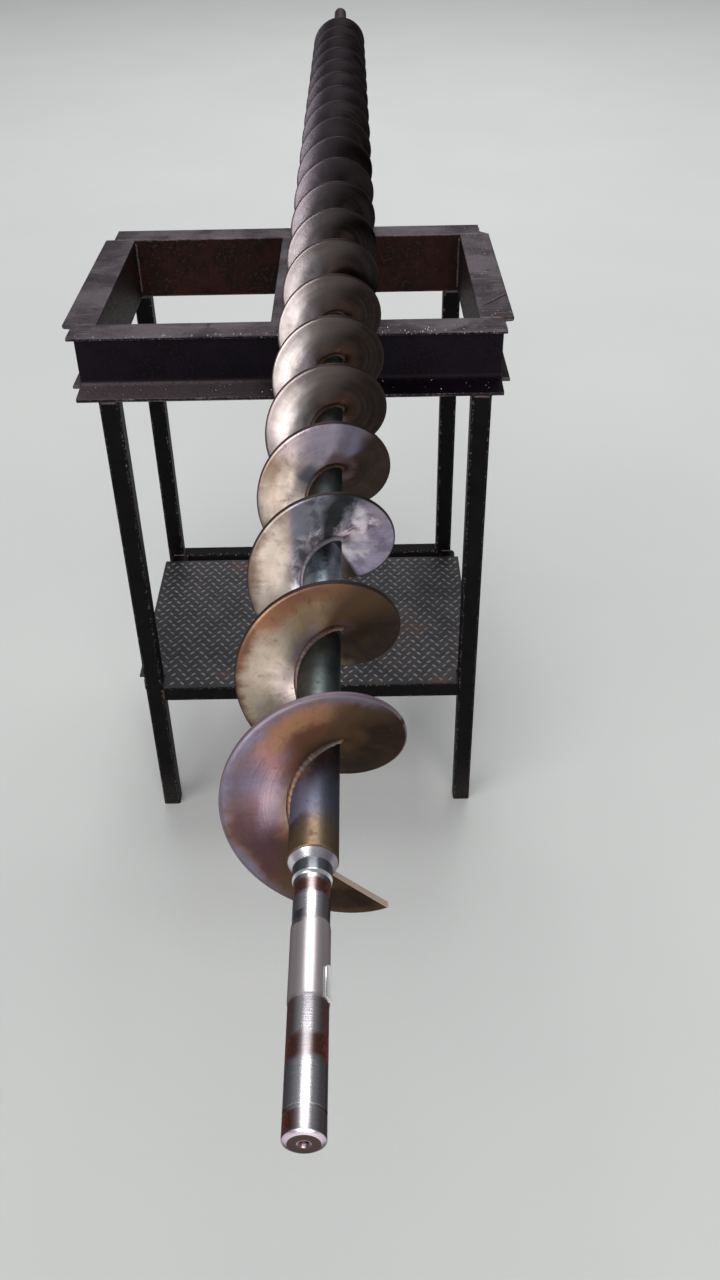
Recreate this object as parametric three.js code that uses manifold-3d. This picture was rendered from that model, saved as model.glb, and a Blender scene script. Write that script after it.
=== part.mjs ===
// Screw rotor of a screw conveyor lying on a welded steel bench, in millimetres.
// +Z is up and +Y runs along the screw, from its drive shaft to its far end.
// The origin is on the floor, midway along the screw and midway across the bench.

import * as THREE from 'three';
import Module from 'manifold-3d';

const wasm = await Module();
wasm.setup();

// Screw sizes
const flightRadius = 66.5;
const flightThickness = 5;
const flightPitch = 137.4;
const flightSections = 21;
const flightStart = -1578;
const flightStartAngle = 132;
const stepsPerTurn = 40;
const seamGap = 0.35;
const rootGap = 0.35;
const pipeRadius = 17;
const pipeWall = 3.2;
const roundSegments = 32;
const screwLength = 3542;
const screwOffset = 66;
const restGap = 0.2;

// Drive shaft, turned from one bar, sections from its tip towards the pipe
const endFaceRadius = 9;
const endChamferLength = 1.8;
const centreHoleRadius = 3.2;
const centreHoleDepth = 4;
const journalRadius = 12.1;
const journalLength = 83;
const grooveDistance = 15;
const grooveWidth = 1.6;
const grooveDepth = 0.7;
const keySeatRadius = 12.5;
const keySeatLength = 53.5;
const seatChamferLength = 1.2;
const seatTaperLength = 4;
const neckRadius = 11.9;
const neckLength = 36.9;
const collarRadius = 13.1;
const collarLength = 18;
const collarStep = 0.4;
const collarChamferLength = 2.2;
const coneLength = 6;
const coneRadius = 16.6;
const spigotLength = 60;
const spigotGap = 0.3;
const keyLength = 23;
const keyWidth = 7;
const keyHeight = 6;
const keyStandOut = 1.8;
const keyGap = 0.3;
const keyAngle = 60;

// Plug at the far end of the pipe
const plugRadius = 14.5;
const plugLength = 18;

// Bench sizes
const benchHeight = 928;
const benchWidth = 658;
const benchDepth = 481;
const benchFront = -529;
const longRailLength = 629;
const channelHeight = 100;
const channelFlange = 50;
const channelWeb = 5;
const channelFlangeThickness = 7.5;
const weldGap = 0.3;
const tubeSize = 30;
const tubeWall = 2.5;
const rearLegSetBack = 431;
const legCentres = { front_left: -267.5, front_right: 282, rear_left: -280, rear_right: 269 };
const shelfRailBottom = 255;
const shelfWidth = 594;
const shelfDepth = 403;
const shelfThickness = 3;
const shelfNotchGap = 2;

const tipY = -screwLength / 2;
const journalEndY = tipY + journalLength;
const keySeatEndY = journalEndY + keySeatLength;
const neckEndY = keySeatEndY + neckLength;
const collarEndY = neckEndY + collarLength;
const pipeStartY = collarEndY + spigotGap;
const pipeEndY = screwLength / 2 - plugLength;
const screwHeight = benchHeight + restGap + flightRadius;
const pipeBore = pipeRadius - pipeWall;
const spigotRadius = pipeBore - spigotGap;

const assembly = new THREE.Group();
assembly.name = 'screw_on_bench';

const screw = new THREE.Group();
screw.name = 'screw';
screw.position.set(screwOffset, 0, screwHeight);
assembly.add(screw);

const bench = new THREE.Group();
bench.name = 'bench';
bench.position.set(0, benchFront, 0);
assembly.add(bench);

function steel(name, color, roughness, metalness) {
  return new THREE.MeshStandardMaterial({ name, color, roughness, metalness });
}

function addPiece(group, name, geometry, material) {
  const mesh = new THREE.Mesh(geometry, material);
  mesh.name = name;
  group.add(mesh);
  return mesh;
}

function toSolid(geometry) {
  const source = geometry.index ? geometry.toNonIndexed() : geometry;
  const positions = source.getAttribute('position');
  const numbers = new Map();
  const vertices = [];
  const triangles = [];
  for (let i = 0; i < positions.count; i += 1) {
    const point = [positions.getX(i), positions.getY(i), positions.getZ(i)];
    const key = point.map((value) => Math.round(value * 1e4)).join(',');
    if (!numbers.has(key)) {
      numbers.set(key, vertices.length / 3);
      vertices.push(...point);
    }
    triangles.push(numbers.get(key));
  }
  const kept = [];
  for (let i = 0; i < triangles.length; i += 3) {
    const [a, b, c] = triangles.slice(i, i + 3);
    if (a !== b && b !== c && c !== a) kept.push(a, b, c);
  }
  return new wasm.Manifold(new wasm.Mesh({
    numProp: 3,
    vertProperties: new Float32Array(vertices),
    triVerts: new Uint32Array(kept),
  }));
}

function fromSolid(solid) {
  const mesh = solid.getMesh();
  const geometry = new THREE.BufferGeometry();
  geometry.setAttribute('position', new THREE.BufferAttribute(new Float32Array(mesh.vertProperties), 3));
  geometry.setIndex(new THREE.BufferAttribute(new Uint32Array(mesh.triVerts), 1));
  return geometry;
}

// One flight section: a flat bar bent round the pipe into a right-hand helix.
// The bar's local x becomes the radius, y the thickness along the pipe, z the turn angle.
function flightGeometry(turns) {
  const rootRadius = pipeRadius + rootGap;
  const depth = flightRadius - rootRadius;
  const steps = Math.round(turns * stepsPerTurn);
  const geometry = new THREE.BoxGeometry(depth, flightThickness, turns, 1, 1, steps);
  const positions = geometry.getAttribute('position');
  for (let i = 0; i < positions.count; i += 1) {
    const radius = (rootRadius + flightRadius) / 2 + positions.getX(i);
    const turn = turns / 2 - positions.getZ(i);
    const angle = turn * 2 * Math.PI;
    const along = turn * flightPitch + positions.getY(i);
    positions.setXYZ(i, radius * Math.sin(angle), along, radius * Math.cos(angle));
  }
  return geometry;
}

function revolve(profile) {
  const points = profile.map(([radius, along]) => new THREE.Vector2(radius, along));
  return new THREE.LatheGeometry(points, roundSegments);
}

// Screw pipe, open at both ends
addPiece(
  screw,
  'screw_pipe',
  revolve([
    [pipeBore, pipeStartY],
    [pipeRadius, pipeStartY],
    [pipeRadius, pipeEndY - spigotGap],
    [pipeBore, pipeEndY - spigotGap],
    [pipeBore, pipeStartY],
  ]),
  steel('screw_pipe', 0x8f8b86, 0.42, 0.85),
);

// Flight sections, one turn each but for the seam between two
const flightColours = [0xa08a8c, 0xb7a48c, 0xb0a79c];
const plainFlightColour = 0xb3aeab;
const seamTurns = seamGap / (Math.PI * (flightRadius + pipeRadius));
for (let i = 0; i < flightSections; i += 1) {
  const name = `flight_${String(i + 1).padStart(2, '0')}`;
  const colour = flightColours[i] ?? plainFlightColour;
  const flight = addPiece(screw, name, flightGeometry(1 - seamTurns), steel(name, colour, 0.36, 0.9));
  flight.position.set(0, flightStart + i * flightPitch, 0);
  flight.rotation.y = THREE.MathUtils.degToRad(flightStartAngle);
}

// Drive shaft with its journal, key seat, neck, collar, cone and the spigot inside the pipe
const grooveY = tipY + grooveDistance;
const shaftBlank = toSolid(revolve([
  [0, tipY + centreHoleDepth],
  [centreHoleRadius, tipY],
  [endFaceRadius, tipY],
  [journalRadius, tipY + endChamferLength],
  [journalRadius, grooveY],
  [journalRadius - grooveDepth, grooveY],
  [journalRadius - grooveDepth, grooveY + grooveWidth],
  [journalRadius, grooveY + grooveWidth],
  [journalRadius, journalEndY],
  [keySeatRadius, journalEndY + seatChamferLength],
  [keySeatRadius, keySeatEndY],
  [neckRadius, keySeatEndY + seatTaperLength],
  [neckRadius, neckEndY],
  [neckRadius + collarStep, neckEndY],
  [collarRadius, neckEndY + collarChamferLength],
  [collarRadius, collarEndY - coneLength],
  [coneRadius, collarEndY],
  [spigotRadius, collarEndY],
  [spigotRadius, collarEndY + spigotLength],
  [0, collarEndY + spigotLength],
]));
const keyCentreRadius = keySeatRadius + keyStandOut - keyHeight / 2;

// A bar lying in the key seat: its width along x, its length along the shaft, its height outwards
function keyBar(gap) {
  const bar = new THREE.BoxGeometry(keyWidth + 2 * gap, keyLength + 2 * gap, keyHeight + 2 * gap);
  bar.translate(0, journalEndY + keyLength / 2, keyCentreRadius);
  bar.rotateY(THREE.MathUtils.degToRad(keyAngle));
  return bar;
}

const keyedShaft = shaftBlank.subtract(toSolid(keyBar(keyGap)));
addPiece(screw, 'drive_shaft', fromSolid(keyedShaft), steel('drive_shaft', 0xb9b9bd, 0.24, 0.95));

// Key, let into the near end of its seat
addPiece(screw, 'shaft_key', keyBar(0), steel('shaft_key', 0xa8a8aa, 0.32, 0.92));

// Plug that closes the far end of the pipe
addPiece(
  screw,
  'far_plug',
  revolve([
    [0, pipeEndY - spigotLength],
    [spigotRadius, pipeEndY - spigotLength],
    [spigotRadius, pipeEndY],
    [plugRadius, pipeEndY],
    [plugRadius, screwLength / 2 - 1],
    [plugRadius - 1, screwLength / 2],
    [centreHoleRadius, screwLength / 2],
    [0, screwLength / 2 - centreHoleDepth],
  ]),
  steel('far_plug', 0x77777b, 0.45, 0.85),
);

// Channel section: the web stands at x = 0 and both flanges run towards +x.
// It is drawn with its height along y and extruded along z.
function channelGeometry(length) {
  const half = channelHeight / 2;
  const inner = half - channelFlangeThickness;
  const section = new THREE.Shape();
  section.moveTo(0, -half);
  section.lineTo(channelFlange, -half);
  section.lineTo(channelFlange, -inner);
  section.lineTo(channelWeb, -inner);
  section.lineTo(channelWeb, inner);
  section.lineTo(channelFlange, inner);
  section.lineTo(channelFlange, half);
  section.lineTo(0, half);
  section.closePath();
  const geometry = new THREE.ExtrudeGeometry(section, { depth: length, bevelEnabled: false });
  geometry.translate(0, 0, -length / 2);
  geometry.rotateX(Math.PI / 2);
  return geometry;
}

// A rail along y; facing is the way its flanges point, turned about z in degrees from +x
function addRail(name, length, x, y, facing, colour) {
  const rail = addPiece(bench, name, channelGeometry(length), steel(name, colour, 0.55, 0.45));
  rail.rotation.z = THREE.MathUtils.degToRad(facing);
  rail.position.set(x, y, benchHeight - channelHeight / 2);
}

// Bench top: five channels with their open sides outwards
const sideRailLength = benchDepth - 2 * channelFlange - 2 * weldGap;
const sideWebX = benchWidth / 2 - channelFlange;
addRail('rail_front', longRailLength, 0, channelFlange, -90, 0x3a3540);
addRail('rail_back', longRailLength, 0, benchDepth - channelFlange, 90, 0x3a3540);
addRail('rail_left', sideRailLength, -sideWebX, benchDepth / 2, 180, 0x4a2f2c);
addRail('rail_right', sideRailLength, sideWebX, benchDepth / 2, 0, 0x4a2f2c);
addRail('rail_middle', sideRailLength, -channelFlange / 2, benchDepth / 2, 0, 0x5a5558);

// Square tube, extruded along z from the floor side up
function tubeGeometry(length) {
  const half = tubeSize / 2;
  const bore = half - tubeWall;
  const section = new THREE.Shape();
  section.moveTo(-half, -half);
  section.lineTo(half, -half);
  section.lineTo(half, half);
  section.lineTo(-half, half);
  section.closePath();
  const hole = new THREE.Path();
  hole.moveTo(-bore, -bore);
  hole.lineTo(-bore, bore);
  hole.lineTo(bore, bore);
  hole.lineTo(bore, -bore);
  hole.closePath();
  section.holes.push(hole);
  return new THREE.ExtrudeGeometry(section, { depth: length, bevelEnabled: false });
}

// Legs stand under the bottom flanges of the front and back rails
const legLength = benchHeight - channelHeight - weldGap;
const frontLegY = tubeSize / 2;
const rearLegY = rearLegSetBack + tubeSize / 2;
for (const [place, x] of Object.entries(legCentres)) {
  const name = `leg_${place}`;
  const leg = addPiece(bench, name, tubeGeometry(legLength), steel(name, 0x1d1b20, 0.5, 0.3));
  leg.position.set(x, place.startsWith('front') ? frontLegY : rearLegY, 0);
}

// Shelf rails between the legs
function addShelfRail(name, start, end) {
  const length = start.distanceTo(end) - tubeSize - 2 * weldGap;
  const rail = addPiece(bench, name, tubeGeometry(length), steel(name, 0x1d1b20, 0.5, 0.3));
  const alongX = Math.abs(end.x - start.x) > Math.abs(end.y - start.y);
  if (alongX) {
    rail.rotation.y = Math.PI / 2;
    rail.position.set(start.x + tubeSize / 2 + weldGap, start.y, shelfRailBottom + tubeSize / 2);
  } else {
    rail.rotation.x = -Math.PI / 2;
    rail.position.set(start.x, start.y + tubeSize / 2 + weldGap, shelfRailBottom + tubeSize / 2);
  }
}

const leftRailX = (legCentres.front_left + legCentres.rear_left) / 2;
const rightRailX = (legCentres.front_right + legCentres.rear_right) / 2;
addShelfRail(
  'shelf_rail_front',
  new THREE.Vector2(legCentres.front_left, frontLegY),
  new THREE.Vector2(legCentres.front_right, frontLegY),
);
addShelfRail(
  'shelf_rail_rear',
  new THREE.Vector2(legCentres.rear_left, rearLegY),
  new THREE.Vector2(legCentres.rear_right, rearLegY),
);
addShelfRail('shelf_rail_left', new THREE.Vector2(leftRailX, frontLegY), new THREE.Vector2(leftRailX, rearLegY));
addShelfRail('shelf_rail_right', new THREE.Vector2(rightRailX, frontLegY), new THREE.Vector2(rightRailX, rearLegY));

// Shelf plate, its front corners cut away round the front legs
const shelfHalf = shelfWidth / 2;
const notchDepth = tubeSize + shelfNotchGap;
const notchLeft = legCentres.front_left + tubeSize / 2 + shelfNotchGap;
const notchRight = legCentres.front_right - tubeSize / 2 - shelfNotchGap;
const shelfOutline = new THREE.Shape();
shelfOutline.moveTo(notchLeft, 0);
shelfOutline.lineTo(notchRight, 0);
shelfOutline.lineTo(notchRight, notchDepth);
shelfOutline.lineTo(shelfHalf, notchDepth);
shelfOutline.lineTo(shelfHalf, shelfDepth);
shelfOutline.lineTo(-shelfHalf, shelfDepth);
shelfOutline.lineTo(-shelfHalf, notchDepth);
shelfOutline.lineTo(notchLeft, notchDepth);
shelfOutline.closePath();
const shelf = addPiece(
  bench,
  'shelf_plate',
  new THREE.ExtrudeGeometry(shelfOutline, { depth: shelfThickness, bevelEnabled: false }),
  steel('shelf_plate', 0x7a7873, 0.55, 0.6),
);
shelf.position.set(0, 0, shelfRailBottom + tubeSize + weldGap);

export default assembly;
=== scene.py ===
"""Conveyor screw on its welded bench: smooth skins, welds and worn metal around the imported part."""

import math
import random

import bpy
import numpy as np
from mathutils import Matrix, Vector


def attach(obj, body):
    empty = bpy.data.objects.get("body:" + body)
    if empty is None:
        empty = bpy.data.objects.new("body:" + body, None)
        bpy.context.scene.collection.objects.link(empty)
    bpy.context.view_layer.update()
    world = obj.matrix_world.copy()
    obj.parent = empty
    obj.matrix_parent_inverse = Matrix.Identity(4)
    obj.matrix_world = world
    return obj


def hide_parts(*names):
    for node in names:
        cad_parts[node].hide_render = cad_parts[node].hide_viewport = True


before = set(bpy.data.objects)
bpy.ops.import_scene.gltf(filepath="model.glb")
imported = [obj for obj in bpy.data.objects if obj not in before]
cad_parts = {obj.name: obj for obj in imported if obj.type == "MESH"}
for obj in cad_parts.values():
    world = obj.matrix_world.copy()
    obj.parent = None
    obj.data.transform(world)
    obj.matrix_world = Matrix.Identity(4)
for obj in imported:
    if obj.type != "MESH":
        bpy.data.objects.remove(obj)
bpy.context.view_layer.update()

MM = 0.001
TAU = 2 * math.pi
QUARTER = np.radians((0, 22.5, 45, 67.5, 90))

# Screw axis and sizes, in millimetres in the row frame
AXIS_X = 66.0
AXIS_Z = 994.7
FLIGHT_START = -1578.0
FLIGHT_PITCH = 137.4
FLIGHT_TURNS = 21
FLIGHT_START_TURN = 132 / 360
FLIGHT_RADIUS = 66.5
FLIGHT_HALF = 2.5
PIPE_RADIUS = 17.0
PIPE_START = -1579.3
PIPE_END = 1752.7
SCREW_END = 1771.0

# Steps of the drive shaft along y
TIP = -SCREW_END
JOURNAL_END = TIP + 83
SEAT_END = JOURNAL_END + 53.5
NECK_END = SEAT_END + 36.9
COLLAR_END = NECK_END + 18

# Bench: rolled channel on legs of square tube. A web's place is that of its side away from the flanges.
RAIL_TOP = 928.0
RAIL_BOTTOM = 828.0
RAIL_HEIGHT = RAIL_TOP - RAIL_BOTTOM
RAIL_WEB = 5.0
RAIL_FLANGE = 50.0
FRONT_WEB = -479.0
FRONT_LIP = FRONT_WEB - RAIL_FLANGE
BACK_WEB = -98.0
SIDE_WEB = 279.0
MIDDLE_WEB = -25.0
LONG_HALF = 314.5
TUBE_HALF = 15.0
TUBE_WALL = 2.5
FRONT_LEG_Y = -514.0
REAR_LEG_Y = -83.0
LEGS = {
    "front_left": (-267.5, FRONT_LEG_Y), "front_right": (282.0, FRONT_LEG_Y),
    "rear_left": (-280.0, REAR_LEG_Y), "rear_right": (269.0, REAR_LEG_Y),
}

# Shelf: rails of square tube between the legs, and tread plate with lens-shaped lugs on them
SHELF_RAIL_Z = 270.0
SHELF_LEFT_X = -273.75
SHELF_RIGHT_X = 275.5
SHELF_FRONT_Y = FRONT_LEG_Y + TUBE_HALF
SHELF_REAR_Y = REAR_LEG_Y - TUBE_HALF
SHELF_RAILS = {
    "front": ((-252.5, FRONT_LEG_Y), (267.0, FRONT_LEG_Y)),
    "rear": ((-265.0, REAR_LEG_Y), (254.0, REAR_LEG_Y)),
    "left": ((SHELF_LEFT_X, SHELF_FRONT_Y), (SHELF_LEFT_X, SHELF_REAR_Y)),
    "right": ((SHELF_RIGHT_X, SHELF_FRONT_Y), (SHELF_RIGHT_X, SHELF_REAR_Y)),
}
PLATE_LOW = 285.0
PLATE_HIGH = 288.3
LUG_PITCH_X = 17.5
LUG_PITCH_Y = 12.4
LUG_HALF_LONG = 6.6
LUG_HALF_SHORT = 2.5
LUG_HEIGHT = 1.3

# Light that metal mirrors from the floor, and where it faces the front light
FLOOR_LIGHT = 0.6
WINDOW_LIGHT = 1.45


def linear(red, green, blue, light=1.0):
    """The linear base colour that shows as a display colour, 0 to 255 a channel, in the given light."""
    parts = []
    for value in (red, green, blue):
        value /= 255
        value = value / 12.92 if value <= 0.04045 else ((value + 0.055) / 1.055) ** 2.4
        parts.append(min(0.95, value / light))
    return (*parts, 1.0)


def metal(red, green, blue):
    """The base colour of bare metal that shows as a display colour where it mirrors the floor."""
    return linear(red, green, blue, FLOOR_LIGHT)


def window_metal(red, green, blue):
    """The same where it faces the large front light."""
    return linear(red, green, blue, WINDOW_LIGHT)


def add_object(name, data):
    """An object for the data, linked into the scene."""
    made = bpy.data.objects.new(name, data)
    bpy.context.scene.collection.objects.link(made)
    return made


def camera_at(place, yaw, pitch, roll, lens):
    """The scene's camera, its angles in degrees, as solved from the photograph."""
    yaw, pitch, roll = (math.radians(a) for a in (yaw, pitch, roll))
    forward = Vector((math.sin(yaw) * math.cos(pitch), math.cos(yaw) * math.cos(pitch), -math.sin(pitch)))
    level = Vector((math.cos(yaw), -math.sin(yaw), 0))
    upright = level.cross(forward)
    right = math.cos(roll) * level + math.sin(roll) * upright
    up = -math.sin(roll) * level + math.cos(roll) * upright
    data = bpy.data.cameras.new("camera")
    data.sensor_width = 36
    data.lens = lens
    data.clip_start = 0.05
    data.clip_end = 100
    camera = add_object("camera", data)
    camera.matrix_world = Matrix((
        (right.x, up.x, -forward.x, place[0]),
        (right.y, up.y, -forward.y, place[1]),
        (right.z, up.z, -forward.z, place[2]),
        (0, 0, 0, 1),
    ))
    bpy.context.scene.camera = camera


camera_at((0.10106, -2.08558, 1.55682), yaw=-0.194, pitch=37.015, roll=-1.112, lens=32.18)


# Shader building
class Shader:
    """A material whose node tree is built from short calls. Lengths are in millimetres."""

    def __init__(self, name, metallic):
        self.material = bpy.data.materials.new(name)
        self.material.use_nodes = True
        self.tree = self.material.node_tree
        self.surface = self.tree.nodes["Principled BSDF"]
        self.surface.inputs["Metallic"].default_value = metallic
        metres = self.node("ShaderNodeTexCoord").outputs["Object"]
        scaled = self.node("ShaderNodeVectorMath", {0: metres, "Scale": 1 / MM}, operation="SCALE")
        self.place = scaled.outputs[0]
        self.x, self.y, self.z = self.split(self.place)
        self.color = None

    def node(self, kind, inputs=None, **settings):
        """A node with its settings, and with a link or a value in each input named or numbered."""
        made = self.tree.nodes.new(kind)
        for key, value in settings.items():
            setattr(made, key, value)
        for key, value in (inputs or {}).items():
            self.put(value, made.inputs[key])
        return made

    def put(self, value, socket):
        """Links another socket to this one, or sets its value."""
        if isinstance(value, bpy.types.NodeSocket):
            self.tree.links.new(value, socket)
        else:
            socket.default_value = value

    def split(self, vector):
        return self.node("ShaderNodeSeparateXYZ", {0: vector}).outputs

    def join(self, x, y, z):
        return self.node("ShaderNodeCombineXYZ", {0: x, 1: y, 2: z}).outputs[0]

    def shifted(self, *by):
        """The place moved aside, for a noise unlike the others."""
        return self.node("ShaderNodeVectorMath", {0: self.place, 1: by}, operation="ADD").outputs[0]

    def stretched(self, *by):
        """The place scaled along each axis, for a noise with a grain."""
        return self.node("ShaderNodeVectorMath", {0: self.place, 1: by}, operation="MULTIPLY").outputs[0]

    def math(self, operation, a, b=0.0):
        return self.node("ShaderNodeMath", {0: a, 1: b}, operation=operation).outputs[0]

    def minus(self, a, b):
        return self.math("SUBTRACT", a, b)

    def add(self, total, *others):
        for other in others:
            total = self.math("ADD", total, other)
        return total

    def times(self, product, *others):
        for other in others:
            product = self.math("MULTIPLY", product, other)
        return product

    def swing(self, noise, size):
        """A noise between 0 and 1, centred on 0 and spread over size."""
        return self.times(self.minus(noise, 0.5), size)

    def rise(self, value, low, high, out_low=0.0, out_high=1.0):
        """Smooth step of value, from out_low at low to out_high at high."""
        if high < low:
            low, high, out_low, out_high = high, low, out_high, out_low
        inputs = {"Value": value, "From Min": low, "From Max": high, "To Min": out_low, "To Max": out_high}
        return self.node("ShaderNodeMapRange", inputs, interpolation_type="SMOOTHSTEP").outputs["Result"]

    def band(self, value, low, high, soft):
        """1 between low and high, falling to 0 over soft on each side."""
        return self.times(self.rise(value, low - soft, low), self.rise(value, high + soft, high))

    def noise(self, vector, scale, detail, roughness, distortion=0.0):
        return self.node("ShaderNodeTexNoise", {
            "Vector": vector, "Scale": scale, "Detail": detail,
            "Roughness": roughness, "Distortion": distortion,
        }).outputs["Fac"]

    def mix(self, factor, a, b):
        return self.node("ShaderNodeMix", {0: factor, 6: a, 7: b}, data_type="RGBA").outputs[2]

    def paint(self, tone, *masks):
        """Lays a tone over the colour so far, as far as every mask lets it through."""
        self.color = self.mix(self.times(*masks), self.color, tone)

    def wear(self):
        """How rubbed the mesh is here, from 0 to 1."""
        return self.node("ShaderNodeAttribute", attribute_name="wear").outputs["Fac"]

    def facing(self):
        """The surface's own direction in the row frame, split in three."""
        return self.split(self.node("ShaderNodeNewGeometry").outputs["Normal"])

    def around(self):
        """Radius from the screw's axis, and the angle from the top in turns, clockwise from the drive end."""
        dx = self.minus(self.x, AXIS_X)
        dz = self.minus(self.z, AXIS_Z)
        radius = self.math("SQRT", self.add(self.times(dx, dx), self.times(dz, dz)))
        turn = self.times(self.math("ARCTAN2", dx, dz), 1 / TAU)
        return radius, turn

    def finish(self, roughness, bump, depth, metallic=None):
        """Links the varying inputs. depth is the bump's full height in millimetres."""
        self.put(self.color, self.surface.inputs["Base Color"])
        self.put(roughness, self.surface.inputs["Roughness"])
        if metallic is not None:
            self.put(metallic, self.surface.inputs["Metallic"])
        made = self.node("ShaderNodeBump", {"Distance": depth * MM, "Strength": 1.0, "Height": bump})
        self.put(made.outputs[0], self.surface.inputs["Normal"])
        return self.material


# Mesh building
def add_mesh(name, solid, material, sharp, wear=None):
    """A mesh from (points, faces) in millimetres in the row frame; it rides on the one body."""
    points, faces = solid
    mesh = bpy.data.meshes.new(name)
    mesh.from_pydata([tuple(p) for p in np.asarray(points, float) * MM], [], faces)
    mesh.validate()
    mesh.polygons.foreach_set("use_smooth", [True] * len(mesh.polygons))
    mesh.set_sharp_from_angle(angle=math.radians(sharp))
    if wear is not None:
        mesh.attributes.new("wear", "FLOAT", "POINT").data.foreach_set("value", np.asarray(wear, np.float32))
    mesh.materials.append(material)
    made = add_object(name, mesh)
    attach(made, "root")
    return made


def loft(rings, close=False):
    """Points and outward faces through rings of equal count, capped unless the last meets the first."""
    rings = np.asarray(rings, float)
    rows, columns, _ = rings.shape
    faces = []
    for i in range(rows if close else rows - 1):
        here, there = i * columns, (i + 1) % rows * columns
        for j in range(columns):
            k = (j + 1) % columns
            faces.append((here + j, here + k, there + k, there + j))
    if not close:
        faces.append(tuple(reversed(range(columns))))
        faces.append(tuple(range((rows - 1) * columns, rows * columns)))
    points = rings.reshape(-1, 3)
    # Faces that enclose a negative volume look inward
    volume = 0.0
    for first, *others in faces:
        for second, third in zip(others, others[1:]):
            volume += float(np.dot(points[first], np.cross(points[second], points[third])))
    if volume < 0:
        faces = [tuple(reversed(face)) for face in faces]
    return points, faces


def merge(parts):
    """Several (points, faces) as one."""
    points, faces, count = [], [], 0
    for some_points, some_faces in parts:
        points.append(some_points)
        faces += [tuple(i + count for i in face) for face in some_faces]
        count += len(some_points)
    return np.concatenate(points), faces


def wave(seed, low, high, count):
    """A smooth seeded function of a number or an array, within about -1 to 1."""
    draw = random.Random(seed)
    terms = [(draw.uniform(low, high), draw.uniform(0, TAU), draw.uniform(0.5, 1)) for _ in range(count)]
    total = sum(t[2] for t in terms)
    return lambda s: sum(k * np.sin(TAU * f * s + p) for f, p, k in terms) / total


def bead(path, out, radius, pitch, seed, sides, ripple, flat=0.8):
    """A weld bead: a rippled rod with tapered ends. out is the direction in which it swells, per point."""
    path = np.asarray(path, float)
    out = np.broadcast_to(np.asarray(out, float), path.shape)
    tangent = np.gradient(path, axis=0)
    tangent /= np.linalg.norm(tangent, axis=1)[:, None]
    along = np.concatenate([[0], np.cumsum(np.linalg.norm(np.diff(path, axis=0), axis=1))])
    side = np.cross(tangent, out)
    side /= np.linalg.norm(side, axis=1)[:, None]
    up = np.cross(side, tangent)
    rough = wave(seed, 0.01, 0.09, 7)(along)
    phase = (along / pitch + 0.25 * rough) % 1.0
    size = radius * (1 + ripple * (0.5 - phase) + 0.16 * rough)
    taper = np.clip(np.minimum(along, along[-1] - along) / (1.5 * radius), 0.15, 1) ** 0.5
    size = (size * taper)[:, None, None]
    angles = (np.arange(sides) / sides * TAU)[None, :, None]
    ring = np.cos(angles) * side[:, None, :] + flat * np.sin(angles) * up[:, None, :]
    return loft(path[:, None, :] + size * ring)


# Materials of the screw: colours that heat, grinding and scale leave on steel, and painted shade and
# reflection
COPPER = window_metal(130, 93, 71)
RUSSET = metal(122, 88, 68)
AMBER = metal(134, 98, 75)
MAROON = metal(92, 58, 47)
PLUM = metal(114, 84, 86)
ROSE = metal(108, 72, 62)
MAUVE = window_metal(98, 72, 78)
LILAC = window_metal(126, 108, 120)
LILAC_GREY = window_metal(108, 96, 112)
CREAM = window_metal(150, 126, 112)
STRAW = window_metal(196, 181, 163)
OLIVE = metal(128, 108, 86)
UMBER = metal(73, 57, 44)
# SCALE is painted shade for the dark right side of the first turns
SCALE = metal(42, 35, 33)
ASH = metal(84, 68, 72)
# Painted dark reflection on the ground part of the third turn
DARK_REFLECTION = metal(32, 34, 36)
SILVER = window_metal(208, 194, 182)
PALE = metal(170, 156, 150)
PEWTER = window_metal(188, 172, 160)
MIST = metal(168, 155, 157)
GREY_MAUVE = metal(118, 106, 110)
BLUE_STEEL = metal(112, 112, 122)
BLUE_GREY = metal(136, 127, 142)
DUSK = metal(98, 93, 108)
TAN = window_metal(142, 121, 106)
FROST = metal(200, 184, 194)

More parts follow.
